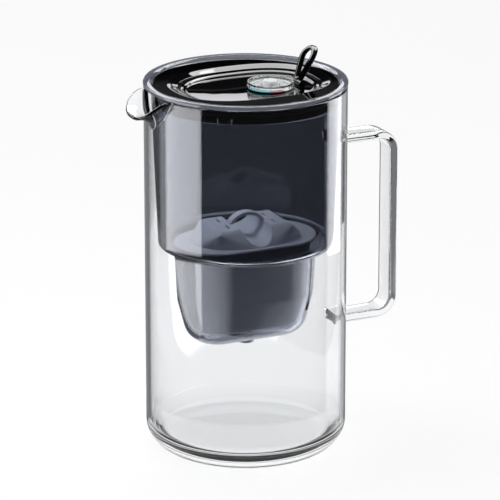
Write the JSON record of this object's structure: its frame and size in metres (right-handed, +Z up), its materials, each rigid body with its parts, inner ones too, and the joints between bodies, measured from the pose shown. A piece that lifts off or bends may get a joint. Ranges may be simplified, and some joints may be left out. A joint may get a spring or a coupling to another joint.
{
  "type": "water filter pitcher",
  "caption": "Tall glass jug with pulled pouring lip and strap handle, lift-out filter hopper with oval cartridge, and a dished lid whose fill flap has a pull ring and date dial.",
  "frame": {"origin": "centre of the flat base, where it stands on the table", "axes": "+Z up along the jug's axis, +X towards the handle, -X towards the pouring lip"},
  "size_m": [0.1843, 0.13, 0.2625],
  "materials": {
    "borosilicate_glass": "clear polished",
    "smoke_plastic": "translucent smoke grey",
    "lid_black": "high gloss black",
    "cartridge_white": "satin white",
    "cap_grey": "satin pale grey",
    "screen_white": "woven mesh",
    "carbon_media": "carbon and resin granules",
    "seal_rubber": "matt silicone",
    "pin_steel": "drawn rod",
    "disc_white": "white with coloured scale",
    "axle_plastic": "smooth",
    "clear_plastic": "clear polished plastic",
    "hub_grey": "smooth"
  },
  "bodies": {
    "jug": {"glass_jug": "borosilicate_glass", "jug_handle": "borosilicate_glass"},
    "hopper": {"hopper": "smoke_plastic"},
    "cartridge": {"cartridge_cup": "cartridge_white", "cartridge_cap": "cap_grey", "cartridge_seal": "seal_rubber", "top_screen": "screen_white", "bottom_screen": "screen_white", "filter_media": "carbon_media"},
    "lid": {"lid_shell": "lid_black", "lid_skirt": "lid_black", "lid_seal": "seal_rubber", "hinge_pin": "pin_steel"},
    "flap": {"flap_panel": "lid_black", "flap_seal": "seal_rubber", "ring_pin": "pin_steel", "dial_disc": "disc_white", "dial_axle": "axle_plastic"},
    "dial": {"dial_knob": "clear_plastic", "dial_hub": "hub_grey"},
    "ring": {"pull_ring": "lid_black"}
  },
  "joints": [
    {"name": "hopper_lift", "type": "slide", "parent": "jug", "child": "hopper", "axis": [0, 0, 1], "range_m": [0, 0.18]},
    {"name": "cartridge_lift", "type": "slide", "parent": "hopper", "child": "cartridge", "axis": [0, 0, 1], "range_m": [0, 0.06]},
    {"name": "lid_lift", "type": "slide", "parent": "hopper", "child": "lid", "axis": [0, 0, 1], "range_m": [0, 0.06]},
    {"name": "flap_open", "type": "hinge", "parent": "lid", "child": "flap", "pos_m": [-0.0425, 0, 0.23905], "axis": [0, -1, 0], "range_deg": [0, 100]},
    {"name": "ring_fold", "type": "hinge", "parent": "flap", "child": "ring", "pos_m": [0.0363, 0, 0.23885], "axis": [0, 1, 0], "range_deg": [-54, 44]},
    {"name": "dial_turn", "type": "hinge", "parent": "flap", "child": "dial", "pos_m": [0.0174, 0, 0.2398], "axis": [0, 0, 1], "continuous": true}
  ]
}
